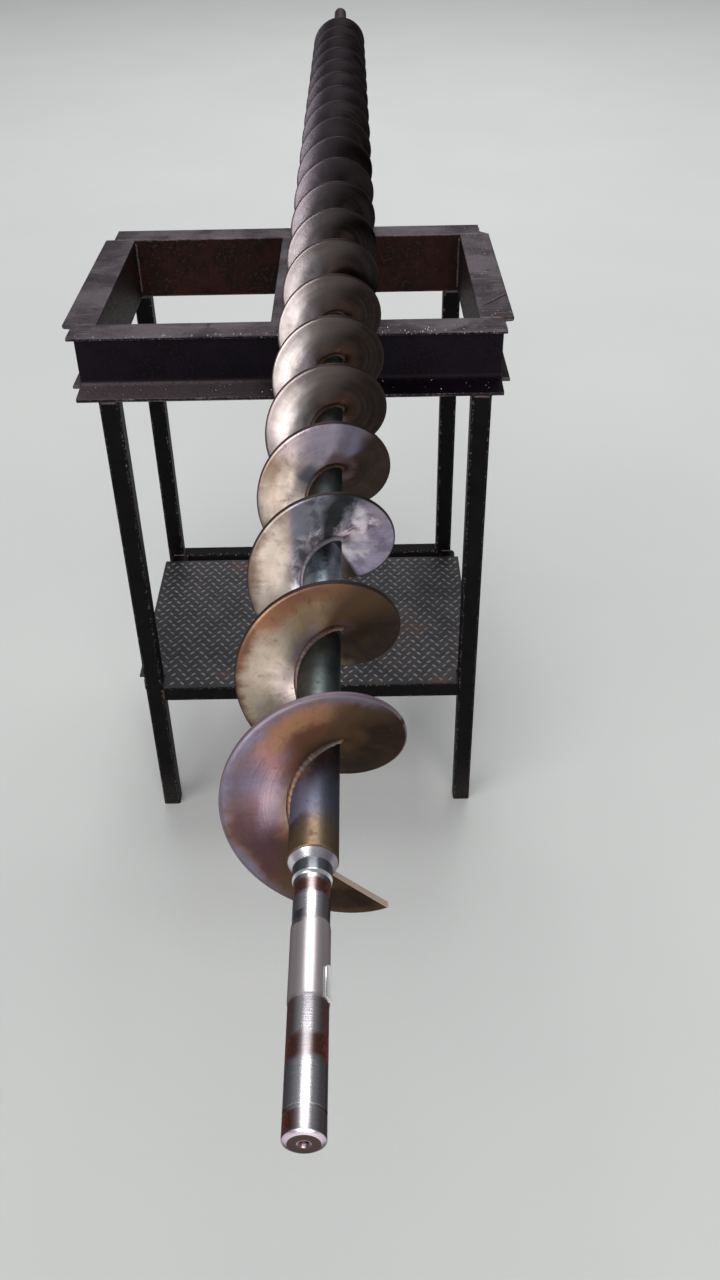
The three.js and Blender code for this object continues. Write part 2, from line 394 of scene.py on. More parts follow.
# Coloured regions of the first four turns, each over the ones before:
# colour, turns from the drive end, radii in millimetres, softness in turns
FLIGHT_REGIONS = (
    (ROSE, -0.10, 1.04, 10, 75, 0.02),
    (UMBER, -0.10, 0.20, 10, 75, 0.08),
    # SCALE rows: painted shade on the right side of the turn
    (SCALE, -0.10, 0.08, 42, 58, 0.06),
    (COPPER, 0.24, 0.37, 53, 63, 0.08),
    (MAUVE, 0.26, 0.42, 32, 52, 0.08),
    (LILAC_GREY, 0.42, 0.49, 42, 75, 0.06),
    (LILAC, 0.34, 0.44, 22, 32, 0.09),
    (CREAM, 0.28, 0.48, 8, 15, 0.06),
    (PLUM, 0.51, 0.59, 34, 54, 0.07),
    (AMBER, 0.55, 0.65, 47, 57, 0.07),
    (UMBER, 0.62, 1.06, 10, 36, 0.10),
    (MAROON, 0.59, 0.65, 33, 40, 0.07),
    (UMBER, 0.72, 0.80, 10, 75, 0.09),
    (DUSK, 0.24, 0.74, 67, 75, 0.08),
    # SCALE rows: painted shade on the right side of the turn
    (SCALE, 0.85, 1.12, 42, 75, 0.12),
    (STRAW, 1.20, 1.55, 10, 75, 0.08),
    (PALE, 1.32, 1.41, 16, 32, 0.06),
    (OLIVE, 1.60, 1.66, 10, 75, 0.08),
    (GREY_MAUVE, 1.50, 1.60, 10, 23, 0.08),
    (COPPER, 1.16, 1.52, 64, 75, 0.07),
    (RUSSET, 1.54, 1.72, 55, 75, 0.07),
    (UMBER, 1.73, 1.82, 10, 75, 0.09),
    # SCALE rows: painted shade on the right side of the turn
    (SCALE, 1.86, 2.12, 34, 75, 0.10),
    (ASH, 1.80, 2.04, 8, 24, 0.08),
    (SILVER, 2.20, 2.58, 10, 75, 0.05),
    (TAN, 2.10, 2.52, 64, 75, 0.07),
    (GREY_MAUVE, 2.42, 2.54, 10, 21, 0.07),
    (PEWTER, 3.20, 3.50, 10, 75, 0.06),
    (TAN, 3.14, 3.28, 30, 75, 0.07),
    (TAN, 3.48, 3.52, 54, 75, 0.07),
    (PALE, 3.36, 3.47, 14, 32, 0.07),
    (MIST, 3.57, 3.61, 10, 75, 0.08),
    (GREY_MAUVE, 3.54, 3.64, 8, 20, 0.07),
    (BLUE_STEEL, 3.50, 3.56, 16, 24, 0.03),
    (BLUE_GREY, 3.61, 3.68, 34, 75, 0.07),
    (DUSK, 3.70, 3.745, 26, 75, 0.05),
    (ASH, 3.68, 4.04, 8, 26, 0.07),
    # SCALE rows: painted shade on the right side of the turn
    (SCALE, 3.81, 4.10, 36, 75, 0.07),
)
REGION_EDGE = 11.0


def grey_turns(s, t, radius, drift_t, drift_r, cloud, arcs):
    """Paints the turns past the fourth: grey-brown steel, with painted shade that darkens it with distance
    and on the side where it looks down.
    """
    # Painted shade: far and farthest darken the turns with distance along the screw
    far = s.rise(t, 5.0, 12.0)
    farthest = s.rise(t, 13.0, 19.0)
    s.color = s.mix(s.rise(t, 4.0, 10.0), metal(150, 143, 141), metal(94, 88, 94))
    s.paint(metal(60, 57, 63), s.rise(t, 9.0, 14.0))
    s.paint(s.mix(far, metal(112, 104, 99), metal(60, 57, 62)), s.rise(cloud, 0.42, 0.6, 0.0, 0.5))
    # Painted shade towards the rim, more on the fifth turn
    s.paint(s.mix(far, metal(82, 74, 73), metal(54, 50, 55)), s.rise(drift_r, 46, 64, 0.0, 0.6))
    s.paint(metal(84, 74, 76), s.band(t, 4.2, 4.7, 0.2), s.rise(radius, 50, 62, 0.0, 0.5))
    # Painted highlight near the root of the middle turns
    root_highlight = s.mix(far, metal(176, 163, 170), metal(128, 118, 128))
    s.paint(root_highlight, s.rise(drift_r, 42, 28, 0.0, 0.75), s.band(t, 5.6, 12.2, 0.8))
    # More painted shade at the rim of the farthest turns
    s.paint(metal(38, 36, 41), farthest, s.rise(drift_r, 38, 58, 0.1, 0.7))

    # Painted shade over the dark side of each turn, which reaches further round at the root than at the rim
    share = s.math("FRACT", t)
    drift_share = s.add(share, s.times(s.minus(drift_t, t), 0.5), s.rise(radius, 62, 22, -0.03, 0.04))
    s.paint(s.mix(far, metal(92, 83, 81), metal(62, 56, 61)), s.rise(drift_share, 0.52, 0.62))
    shade = s.mix(far, metal(32, 27, 26), metal(25, 21, 23))
    shade = s.mix(s.rise(drift_r, 44, 30), shade, s.mix(far, metal(54, 41, 38), metal(42, 36, 37)))
    shade = s.mix(s.band(t, 10.4, 12.2, 0.8), shade, metal(38, 32, 34))
    shade = s.mix(farthest, shade, metal(17, 14, 18))
    s.paint(shade, s.math("MAXIMUM", s.rise(drift_share, 0.58, 0.74), s.rise(drift_share, 0.2, 0.02)))

    # Brown beside the weld at the root
    root = s.times(s.rise(drift_r, 32, 20), s.rise(arcs, 0.35, 0.6, 0.45, 1.0))
    root = s.times(root, s.rise(share, 0.36, 0.5, 0.2, 0.8), s.rise(t, 12.0, 17.0, 1.0, 0.45))
    s.paint(s.mix(s.rise(cloud, 0.5, 0.66), metal(66, 49, 41), metal(96, 70, 54)), root)


def ground_patch(s, t, radius, drift_t, drift_r, fine):
    """Colour of the ground part of the third turn: blue-grey, with a painted dark reflection at its crest,
    bright past it.
    """
    mottle = s.noise(s.place, 0.07, 5, 0.6, 0.4)
    lower = s.mix(s.rise(mottle, 0.4, 0.6), metal(98, 92, 98), metal(168, 160, 168))
    patch = s.mix(s.rise(drift_r, 40, 30), BLUE_STEEL, lower)
    patch = s.mix(s.times(s.rise(t, 2.56, 2.62), s.rise(mottle, 0.62, 0.4)), patch, metal(76, 76, 84))
    bright = s.mix(s.rise(mottle, 0.42, 0.62), FROST, metal(90, 82, 98))
    bright = s.mix(s.rise(drift_r, 46, 58, 0.0, 0.8), bright, metal(106, 98, 114))
    patch = s.mix(s.rise(t, 2.72, 2.77), patch, bright)
    soft = s.rise(mottle, 0.35, 0.65)
    calm_root = s.mix(soft, metal(204, 194, 212), metal(156, 148, 166))
    calm_rim = s.mix(soft, metal(140, 132, 152), metal(106, 100, 118))
    patch = s.mix(s.rise(drift_t, 2.8, 2.86), patch, s.mix(s.rise(drift_r, 34, 54), calm_root, calm_rim))

    # A pale streak that sweeps in from the rim to the root
    sweep = s.math("ABSOLUTE", s.minus(s.add(radius, s.times(fine, 5)), s.rise(t, 2.69, 2.95, 59, 24)))
    patch = s.mix(s.times(s.rise(sweep, 8, 1), s.rise(t, 2.71, 2.75, 0, 0.6)), patch, metal(204, 190, 200))

    # A painted dark reflection, narrower towards the root
    rough_t = s.add(t, s.swing(mottle, 0.07))
    dark_reflection = s.rise(s.add(rough_t, s.rise(radius, 46, 60, 0.0, -0.02)), 2.625, 2.655)
    dark_reflection = s.times(dark_reflection, s.rise(s.add(rough_t, s.rise(radius, 62, 24, 0.0, 0.014)), 2.735, 2.705))
    return s.mix(s.times(dark_reflection, 0.94), patch, DARK_REFLECTION)


def flight_steel():
    """Plate with temper colours on the first turns, one ground patch, and brushed grey further on, with
    painted shade on the dark side of the turns.
    """
    s = Shader("flight_steel", 1.0)
    # Oxide keeps the steel dark even at grazing angles
    s.surface.inputs["Specular Tint"].default_value = (0.5, 0.46, 0.43, 1)
    radius, turn = s.around()
    # Turns since the leading end, alike on both faces of the plate
    behind = s.minus(turn, FLIGHT_START_TURN)
    travel = s.times(s.minus(s.y, FLIGHT_START), 1 / FLIGHT_PITCH)
    t = s.add(behind, s.math("ROUND", s.minus(travel, behind)))

    streak = s.noise(s.join(s.times(radius, 0.9), s.times(t, 5.0), 0.0), 1.0, 4, 0.6)
    arcs = s.noise(s.join(s.times(radius, 0.22), s.times(t, 2.6), 4.0), 1.0, 3, 0.5)
    blotch = s.noise(s.place, 0.028, 5, 0.6, 0.4)
    cloud = s.noise(s.shifted(310, 90, 170), 0.05, 4, 0.55, 0.3)
    fine = s.noise(s.place, 0.35, 4, 0.6)
    sway = s.noise(s.shifted(20, 410, 60), 0.014, 2, 0.5)
    swell = s.noise(s.shifted(510, 30, 240), 0.03, 2, 0.5)
    # Streaks that run out along the radius, as heat leaves them
    ray = s.noise(s.join(s.times(t, 42.0), s.times(radius, 0.05), 9.0), 1.0, 4, 0.65)
    drift_t = s.add(t, s.swing(sway, 0.14))
    drift_r = s.add(radius, s.swing(swell, 20), s.swing(ray, 14))

    grey_turns(s, t, radius, drift_t, drift_r, cloud, arcs)
    for tone, start, end, inner, outer, soft in FLIGHT_REGIONS:
        s.paint(tone, s.band(drift_t, start, end, soft), s.band(drift_r, inner, outer, REGION_EDGE))
    s.paint(UMBER, s.rise(cloud, 0.45, 0.62), s.rise(t, 3.9, 4.1, 0.22, 0.0))
    streaked = s.rise(s.add(ray, s.swing(fine, 0.5)), 0.5, 0.78)
    s.paint(metal(70, 56, 46), streaked, s.rise(t, 3.6, 4.4, 0.4, 0.15))
    s.paint(metal(56, 46, 42), s.rise(fine, 0.67, 0.74, 0.0, 0.5))
    across = s.minus(s.x, AXIS_X)
    ground = s.times(s.rise(s.add(across, s.times(fine, 5)), -27, -21), s.band(t, 2.2, 3.04, 0.02))
    s.paint(ground_patch(s, t, radius, drift_t, drift_r, fine), ground)

    # Brushing and handling
    s.paint(metal(64, 58, 55), s.rise(arcs, 0.36, 0.7), s.rise(t, 3.0, 4.6, 0.06, 0.24))
    s.paint(metal(60, 54, 51), s.rise(streak, 0.52, 0.74), s.rise(t, 2.8, 4.5, 0.08, 0.16))

    # The far faces of the turns, plain brushed steel
    plain = s.mix(s.rise(blotch, 0.38, 0.6), metal(134, 127, 124), metal(100, 92, 88))
    plain = s.mix(s.rise(arcs, 0.5, 0.7, 0.0, 0.5), plain, metal(84, 70, 60))
    s.paint(plain, s.rise(s.facing()[1], 0.25, 0.6, 0.0, 0.85))

    # Rim: lilac on the first turn, painted shade past it
    edge = s.rise(radius, 64.4, 65.9)
    s.paint(s.mix(s.rise(t, 1.06, 0.98), metal(50, 43, 42), metal(112, 99, 106)), edge)
    # Leading end, cut to bare metal
    s.paint(metal(190, 172, 158), s.rise(t, 0.002, 0.0005))
    # A nick in the rim of the first turn
    s.paint(metal(40, 32, 30), s.band(t, 0.828, 0.838, 0.007), s.rise(radius, 62.5, 64.5, 0.0, 0.8))

    roughness = s.add(s.rise(t, 0.9, 4.2, 0.42, 0.3), s.rise(streak, 0.3, 0.8, 0.0, 0.08))
    roughness = s.add(roughness, s.times(ground, -0.05), s.times(edge, 0.2))
    # The plate was brushed in circles, which draws its highlights out along the radius
    s.put(s.join(across, 0.0, s.minus(s.z, AXIS_Z)), s.surface.inputs["Tangent"])
    s.put(s.rise(t, 0.9, 4.2, 0.2, 0.75), s.surface.inputs["Anisotropic"])
    height = s.add(s.times(streak, 0.3), s.times(fine, 0.12), s.times(blotch, 1.2))
    return s.finish(roughness, height, depth=0.3)


def weld_steel():
    """Weld metal: beige and smooth on the first turns, brown further on, silvery here and there."""
    s = Shader("weld_bead", 1.0)
    fine = s.noise(s.place, 0.5, 4, 0.6)
    broad = s.noise(s.place, 0.02, 3, 0.5)
    s.color = s.mix(s.rise(fine, 0.35, 0.65), metal(66, 50, 41), metal(100, 78, 64))
    s.paint(metal(126, 100, 80), s.rise(s.y, -1230, -1440), s.rise(fine, 0.28, 0.5))
    s.paint(metal(98, 90, 92), s.rise(broad, 0.5, 0.62, 0.0, 0.7))
    # Ground bright beside the ground part of the third turn, burnt brown past it
    s.paint(metal(126, 118, 124), s.band(s.y, -1258, -1166, 12))
    s.paint(metal(48, 36, 31), s.rise(s.y, -1130, -1050, 0.0, 0.55))
    s.paint(metal(46, 36, 32), s.rise(fine, 0.66, 0.76))
    return s.finish(s.add(0.36, s.times(fine, 0.3)), fine, depth=0.15)


def pipe_steel():
    """Pipe: straw, then blue beside the first weld, then dark mill finish, bare and bluish further up."""
    s = Shader("pipe_steel", 1.0)
    s.surface.inputs["Specular Tint"].default_value = (0.35, 0.35, 0.35, 1)
    turn = s.around()[1]
    ring = s.noise(s.join(s.times(turn, 2.0), s.times(s.y, 0.8), 0.0), 1.0, 4, 0.6)
    fine = s.noise(s.place, 0.3, 4, 0.55)
    blotch = s.noise(s.place, 0.03, 4, 0.55, 0.5)
    along = s.add(s.y, s.swing(blotch, 34))
    s.color = s.mix(s.rise(along, -1566, -1538), metal(106, 90, 72), metal(88, 90, 104))
    s.paint(metal(84, 68, 68), s.rise(along, -1518, -1496))
    # Painted reflection of the flight on the side towards it: lavender, then beige beside the weld
    left = s.rise(turn, 0.02, -0.08)
    s.paint(metal(124, 130, 152), left, s.band(along, -1548, -1520, 8))
    s.paint(metal(142, 126, 120), left, s.band(along, -1512, -1486, 8))
    mill = s.mix(s.rise(blotch, 0.35, 0.62), metal(64, 68, 68), metal(78, 84, 83))
    rusty = s.times(s.rise(turn, -0.04, -0.2), s.rise(fine, 0.3, 0.5, 0.2, 0.6))
    s.paint(s.mix(rusty, mill, metal(66, 52, 46)), s.rise(along, -1492, -1474))
    # Bare and clean between the second and the third turn
    clean = s.band(along, -1340, -1216, 6)
    s.paint(metal(118, 126, 134), clean, s.rise(blotch, 0.36, 0.5, 0.5, 1))
    s.paint(metal(66, 60, 62), s.rise(s.y, -400, 1300, 0, 0.5))
    # Brown on the left past the third turn, painted shade on the right
    s.paint(metal(78, 57, 46), left, s.rise(s.y, -1150, -1060, 0.0, 0.75), s.rise(fine, 0.3, 0.5, 0.5, 1.0))
    s.paint(metal(32, 32, 34), s.rise(turn, 0.06, 0.18), s.rise(clean, 1.0, 0.0, 0.0, 0.6))
    s.paint(metal(52, 40, 34), s.rise(fine, 0.58, 0.72, 0, 0.5))
    roughness = s.add(0.4, s.rise(fine, 0.3, 0.8, 0.0, 0.16), s.times(clean, -0.14))
    return s.finish(roughness, s.add(s.times(ring, 0.4), s.times(fine, 0.6)), depth=0.06)


def shaft_steel():
    """Turned steel, polished but on its key seat, with rust-brown bands, a heat-tinted cone and collar, and
    painted shade down its sides.
    """
    s = Shader("shaft_steel", 1.0)
    s.surface.inputs["Specular Tint"].default_value = (0.55, 0.53, 0.55, 1)
    radius, turn = s.around()
    off_top = s.math("ABSOLUTE", turn)
    rings = s.noise(s.join(s.times(turn, 0.6), s.times(s.y, 1.6), 0.0), 1.0, 3, 0.7)
    wobble = s.noise(s.join(s.times(turn, 6), s.times(s.y, 0.08), 2.0), 1.0, 4, 0.6)
    fine = s.noise(s.place, 0.45, 4, 0.6)
    along = s.add(s.y, s.swing(wobble, 9))
    s.color = s.mix(s.rise(rings, 0.35, 0.7), metal(190, 186, 190), metal(150, 144, 148))
    # Painted shade: polished lengths are dark down their sides, away from the line along the top
    s.paint(metal(62, 57, 60), s.rise(off_top, 0.03, 0.15, 0.0, 0.94))
    s.paint(metal(32, 29, 32), s.rise(off_top, 0.13, 0.21))
    seat = s.band(s.y, JOURNAL_END, SEAT_END + 2, 1.0)
    # The key seat is matte, with painted shade on its sides
    matte_and_shade = s.mix(s.rise(off_top, 0.05, 0.2), metal(184, 174, 174), metal(112, 103, 104))
    s.paint(s.mix(s.times(rings, 0.3), matte_and_shade, metal(98, 90, 90)), s.times(seat, 0.92))
    # Collar: painted shade on its sides, and a bright chamfer at its front
    collar = s.rise(s.y, NECK_END - 0.4, NECK_END + 0.4)
    s.paint(s.mix(s.rise(off_top, 0.05, 0.16), metal(104, 106, 112), metal(60, 60, 66)), collar)
    s.paint(metal(214, 204, 208), collar, s.rise(s.y, NECK_END + 3.0, NECK_END + 2.2))
    # Cone: bare metal, with painted shade on its right side
    cone = s.rise(s.y, COLLAR_END - 6.6, COLLAR_END - 5.6)
    bare = s.mix(s.rise(fine, 0.3, 0.7), metal(228, 220, 224), metal(190, 181, 188))
    s.paint(s.mix(s.rise(turn, 0.0, 0.13), bare, metal(140, 132, 140)), cone)

    # Rust-brown bands, thinner along the top
    rust = s.times(s.band(along, -1610, -1603, 4), s.rise(off_top, 0.0, 0.06, 0.6, 1.0), s.minus(1.0, collar))
    for start, end, soft, cover in (
        (-1724, -1715, 6, s.rise(off_top, 0.0, 0.08, 0.35, 1.0)),
        (-1768, -1758, 3, s.rise(turn, 0.0, -0.1, 0.15, 1.0)),
        (-1713, -1690, 5, s.rise(off_top, 0.03, 0.12, 0.0, 0.5)),
    ):
        rust = s.math("MAXIMUM", rust, s.times(s.band(along, start, end, soft), cover))
    brown = s.mix(s.rise(fine, 0.35, 0.6), metal(62, 30, 24), metal(92, 54, 44))
    s.paint(brown, rust, s.rise(fine, 0.25, 0.5, 0.7, 0.95))
    s.paint(metal(48, 46, 52), s.band(along, -1634, -1626, 2), s.rise(turn, -0.03, -0.09, 0.0, 0.8))

    # End face: dull, its chamfer with a painted highlight on the upper side
    face = s.rise(s.y, TIP + 2.0, TIP + 1.4)
    s.paint(s.mix(s.rise(off_top, 0.2, 0.32), metal(190, 176, 188), metal(92, 80, 80)), face)
    s.paint(metal(76, 62, 58), face, s.band(radius, 4.2, 8.8, 0.5))
    roughness = s.add(0.21, s.times(rings, 0.12), s.times(rust, 0.1), s.times(seat, 0.1))
    return s.finish(roughness, s.add(rings, s.times(fine, 0.3)), depth=0.05)


def key_steel():
    """Key: drawn bar, its edges rubbed bright."""
    s = Shader("key_steel", 1.0)
    grain = s.noise(s.stretched(2.0, 0.15, 2.0), 1.0, 3, 0.6)
    s.color = s.mix(grain, metal(206, 200, 198), metal(170, 162, 160))
    s.paint(metal(226, 222, 220), s.wear(), 0.6)
    return s.finish(s.add(0.2, s.times(grain, 0.15)), grain, depth=0.05)


def plug_steel():
    """Plug: turned face, spotted with rust."""
    s = Shader("plug_steel", 1.0)
    radius, turn = s.around()
    rings = s.noise(s.join(s.times(radius, 1.4), s.times(s.y, 1.4), turn), 1.0, 3, 0.6)
    blotch = s.noise(s.place, 0.12, 4, 0.6)
    s.color = s.mix(rings, metal(118, 114, 116), metal(84, 78, 78))
    s.paint(metal(80, 54, 42), s.rise(blotch, 0.52, 0.66))
    return s.finish(s.add(0.28, s.times(blotch, 0.3)), rings, depth=0.1)


# Materials of the bench
def rail_paint(name, paint, shade, primer, rust):
    """Dark paint over red-oxide primer, worn to grey steel on the top flange and the edges."""
    s = Shader(name, 0.0)
    s.surface.inputs["Specular IOR Level"].default_value = 0.07
    blotch = s.noise(s.place, 0.022, 5, 0.62, 0.6)
    cloud = s.noise(s.shifted(210, 70, 30), 0.012, 4, 0.6, 0.4)
    fine = s.noise(s.place, 0.25, 5, 0.65)
    speck = s.noise(s.place, 0.9, 3, 0.6)
    scratch = s.noise(s.stretched(0.02, 0.35, 0.5), 1.0, 4, 0.6, 0.8)
    s.color = s.mix(s.rise(blotch, 0.36, 0.64), linear(*paint), linear(*shade))
    s.paint(linear(50, 42, 46), s.rise(fine, 0.5, 0.72, 0.0, 0.12))
    s.paint(linear(46, 21, 17), s.rise(blotch, 0.62, 0.3, 0.0, primer))
    s.paint(linear(88, 50, 35), s.rise(s.add(fine, s.times(blotch, 0.4)), 0.76, 0.86, 0.0, rust))

    # Painted light on the upper side of the bottom flange, on its left; it stays dark on its right
    upward = s.rise(s.facing()[2], 0.35, 0.8)
    ledge = s.times(s.band(s.z, RAIL_BOTTOM + 5, RAIL_BOTTOM + 14, 1), upward)
    ledge_light = s.rise(s.add(s.x, s.times(blotch, 120)), 90, -30)
    s.paint(linear(84, 74, 77), ledge, ledge_light, s.rise(fine, 0.3, 0.55, 0.5, 0.95))

    # Worn steel where it is walked on by work: the top flange, and the edges
    upper = s.times(s.rise(s.z, RAIL_TOP - 4, RAIL_TOP - 1), upward)
    walked = s.times(upper, s.rise(s.add(blotch, s.times(fine, 0.3)), 0.86, 0.72, 0.35, 1))
    worn = s.math("MAXIMUM", walked, s.rise(s.add(s.wear(), s.swing(fine, 1.3)), 0.68, 0.9))
    steel = s.mix(s.rise(cloud, 0.36, 0.64), linear(92, 84, 88), linear(54, 46, 50))
    scored = s.rise(s.add(scratch, s.times(fine, 0.3)), 0.74, 0.84, 0.0, 0.6)
    steel = s.mix(scored, steel, linear(134, 126, 130))
    s.paint(s.mix(s.rise(speck, 0.6, 0.68, 0, 0.8), steel, linear(38, 32, 32)), worn)
    roughness = s.add(0.42, s.rise(fine, 0.3, 0.7, 0.0, 0.26))
    height = s.add(s.times(fine, 0.5), s.times(blotch, 0.9), s.times(worn, -0.35))
    return s.finish(roughness, height, depth=0.4, metallic=s.times(worn, 0.6))


def black_paint():
    """Brushed-on black paint, chipped at the corners, dusty near the floor."""
    s = Shader("black_paint", 0.0)
    s.surface.inputs["Specular IOR Level"].default_value = 0.07
    blotch = s.noise(s.place, 0.03, 4, 0.6)
    fine = s.noise(s.place, 0.28, 5, 0.65)
    runs = s.noise(s.stretched(0.3, 0.3, 0.03), 1.0, 4, 0.6)
    s.color = s.mix(s.rise(blotch, 0.35, 0.65), linear(5, 4, 6), linear(9, 8, 10))
    chips = s.rise(s.add(s.times(s.wear(), 0.28), fine), 0.84, 0.9)
    s.paint(s.mix(blotch, linear(84, 64, 54), linear(112, 104, 102)), chips)
    s.paint(linear(84, 78, 72), s.rise(s.z, 120, 0, 0.0, 0.25), s.rise(fine, 0.3, 0.7))
    return s.finish(s.add(0.36, s.times(fine, 0.3)), s.add(s.times(runs, 0.8), s.times(fine, 0.5)), depth=0.4)


def tread_steel():
    """Tread plate: dull dark steel, lugs rubbed bright, dust between them."""
    s = Shader("tread_steel", 0.7)
    blotch = s.noise(s.place, 0.012, 5, 0.6, 0.5)
    fine = s.noise(s.place, 0.3, 5, 0.65)
    s.color = s.mix(s.rise(blotch, 0.35, 0.65), linear(44, 43, 46), linear(60, 58, 60))
    s.paint(linear(38, 34, 34), s.rise(fine, 0.5, 0.7))
    s.paint(linear(150, 146, 146), s.wear(), s.rise(blotch, 0.3, 0.6, 0.45, 0.9))
    s.paint(linear(92, 58, 42), s.rise(s.add(blotch, s.times(fine, 0.4)), 0.8, 0.92, 0.0, 0.5))
    return s.finish(s.add(0.36, s.times(fine, 0.35)), fine, depth=0.25)


def bench_weld():
    """Weld metal of the bench, painted over and rubbed bare again on its ridges."""
    s = Shader("bench_weld", 0.7)
    fine = s.noise(s.place, 0.5, 4, 0.6)
    blotch = s.noise(s.place, 0.05, 3, 0.5)
    s.color = s.mix(s.rise(fine, 0.4, 0.6), linear(50, 43, 46), linear(92, 84, 86))
    s.paint(linear(84, 54, 42), s.rise(blotch, 0.5, 0.64))
    return s.finish(s.add(0.3, s.times(fine, 0.35)), fine, depth=0.3)


def spatter_steel():
    """Drops of weld metal."""
    s = Shader("spatter", 1.0)
    fine = s.noise(s.place, 0.8, 3, 0.5)
    s.color = s.mix(fine, linear(190, 184, 182), linear(126, 118, 118))
    return s.finish(s.add(0.14, s.times(fine, 0.25)), fine, depth=0.1)


def floor_paint():
    """Plain pale floor."""
    s = Shader("floor_pale", 0.0)
    grain = s.noise(s.place, 0.08, 4, 0.6)
    s.color = s.mix(s.noise(s.place, 0.0012, 3, 0.5), linear(206, 206, 203), linear(196, 197, 195))
    return s.finish(s.add(0.5, s.times(grain, 0.15)), grain, depth=0.3)


steel_flight = flight_steel()
steel_weld = weld_steel()
steel_pipe = pipe_steel()
steel_shaft = shaft_steel()
steel_key = key_steel()
steel_plug = plug_steel()
steel_tread = tread_steel()
steel_bench_weld = bench_weld()
steel_spatter = spatter_steel()
paint_tube = black_paint()
paint_front = rail_paint("paint_front", (15, 10, 20), (9, 6, 13), primer=0.05, rust=0.12)
paint_back = rail_paint("paint_back", (30, 14, 12), (20, 11, 11), primer=0.5, rust=0.25)
paint_side = rail_paint("paint_side", (34, 20, 19), (22, 16, 17), primer=0.4, rust=0.3)
paint_middle = rail_paint("paint_middle", (46, 36, 38), (31, 26, 30), primer=0.4, rust=0.25)


# Flights: one skin for each turn, bent as one continuous, slightly uneven plate
FLIGHT_STEPS = 96
FLIGHT_FRONT_RADII = (16.8, 22, 29, 37, 45, 53, 59, 63, 65.6)
flight_section = [(r, -FLIGHT_HALF) for r in FLIGHT_FRONT_RADII]
flight_section += [(66.25, -2.05), (FLIGHT_RADIUS, -1.3), (FLIGHT_RADIUS, 1.3), (66.25, 2.05)]
flight_section += [(r, FLIGHT_HALF) for r in reversed(FLIGHT_FRONT_RADII)]
flight_r, flight_y = np.array(flight_section).T
reach = (flight_r - PIPE_RADIUS) / (FLIGHT_RADIUS - PIPE_RADIUS)
warp_rim = wave(11, 0.4, 2.2, 6)
warp_body = wave(12, 0.8, 3.6, 6)
trim_rim = wave(13, 0.7, 4.5, 6)


def flight_ring(u):
    """The plate's section u turns past the leading end."""
    angle = (FLIGHT_START_TURN + u) * TAU
    radius = flight_r - 0.35 * (1 + trim_rim(u)) * reach ** 8
    along = FLIGHT_START + u * FLIGHT_PITCH + flight_y
    along = along + 0.9 * warp_rim(u) * reach ** 2 + 0.5 * warp_body(u) * np.sin(np.pi * np.clip(reach, 0, 1))
    return np.stack([AXIS_X + radius * np.sin(angle), along, AXIS_Z + radius * np.cos(angle)], axis=1)


for i in range(FLIGHT_TURNS):
    node = f"flight_{i + 1:02d}"
    plate = loft([flight_ring(i + k / FLIGHT_STEPS) for k in range(FLIGHT_STEPS + 1)])
    skin = add_mesh(f"{node}_plate", plate, steel_flight, sharp=40)
    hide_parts(node)


def radial_directions(angles):
    """Unit vectors out from the screw's axis, at angles from the top."""
    return np.stack([np.sin(angles), np.zeros(len(angles)), np.cos(angles)], axis=1)


# Welds along the root of the flights, one on each side, in finer steps on the first three turns
weld_u = np.concatenate([np.arange(0.015, 3.0, 1 / 220), np.arange(3.0, FLIGHT_TURNS - 0.02, 1 / 110)])
weld_radial = radial_directions((FLIGHT_START_TURN + weld_u) * TAU)
for label, side, seed in (("drive_side", -1, 21), ("far_side", 1, 22)):
    path = np.array([AXIS_X, 0, AXIS_Z]) + 17.3 * weld_radial
    path[:, 1] = FLIGHT_START + weld_u * FLIGHT_PITCH + side * (FLIGHT_HALF + 0.6)
    out = 0.7 * weld_radial + 0.7 * np.array([0.0, side, 0.0])
    rod = bead(path, out, 3.1, 4.6, seed, sides=8, ripple=0.07)
    weld = add_mesh(f"root_weld_{label}", rod, steel_weld, sharp=70)


# Pipe, shaft and plug
def lathe_piece(node, profile, material, close=False):
    """Turns (radius, along) pairs about the screw's axis."""
    directions = radial_directions(np.arange(96) / 96 * TAU)
    rings = [np.array([AXIS_X, along, AXIS_Z]) + radius * directions for radius, along in profile]
    piece = add_mesh(f"{node}_skin", loft(rings, close), material, sharp=30)
    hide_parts(node)


pipe_profile = [(13.8, PIPE_START), (16.4, PIPE_START)]
pipe_profile += [(PIPE_RADIUS, y) for y in np.linspace(PIPE_START + 0.8, PIPE_END - 0.8, 60)]
pipe_profile += [(16.4, PIPE_END), (13.8, PIPE_END)]
lathe_piece("screw_pipe", pipe_profile, steel_pipe, close=True)

lathe_piece("drive_shaft", [
    (0.05, TIP + 4), (1.4, TIP + 3.4), (3.2, TIP + 0.3), (3.7, TIP), (8.6, TIP), (9.3, TIP + 0.15),
    (11.7, TIP + 1.5), (12.05, TIP + 2.0), (12.1, TIP + 2.6),
    (12.1, TIP + 14.8), (11.5, TIP + 15.1), (11.45, TIP + 16.3), (12.1, TIP + 16.7),
    (12.1, JOURNAL_END - 0.1), (12.4, JOURNAL_END + 0.8), (12.5, JOURNAL_END + 1.5),
    (12.5, SEAT_END), (12.35, SEAT_END + 1.0), (12.0, SEAT_END + 3.2), (11.9, SEAT_END + 4.2),
    (11.9, NECK_END - 1.0), (12.05, NECK_END - 0.2), (12.4, NECK_END + 0.2), (12.95, NECK_END + 1.8),
    (13.1, NECK_END + 2.4), (13.1, COLLAR_END - 6.3), (13.35, COLLAR_END - 5.7), (16.4, COLLAR_END - 0.2),
    (16.2, COLLAR_END + 0.1), (13.5, COLLAR_END + 0.2), (13.5, COLLAR_END + 60), (0.05, COLLAR_END + 60),
], steel_shaft)
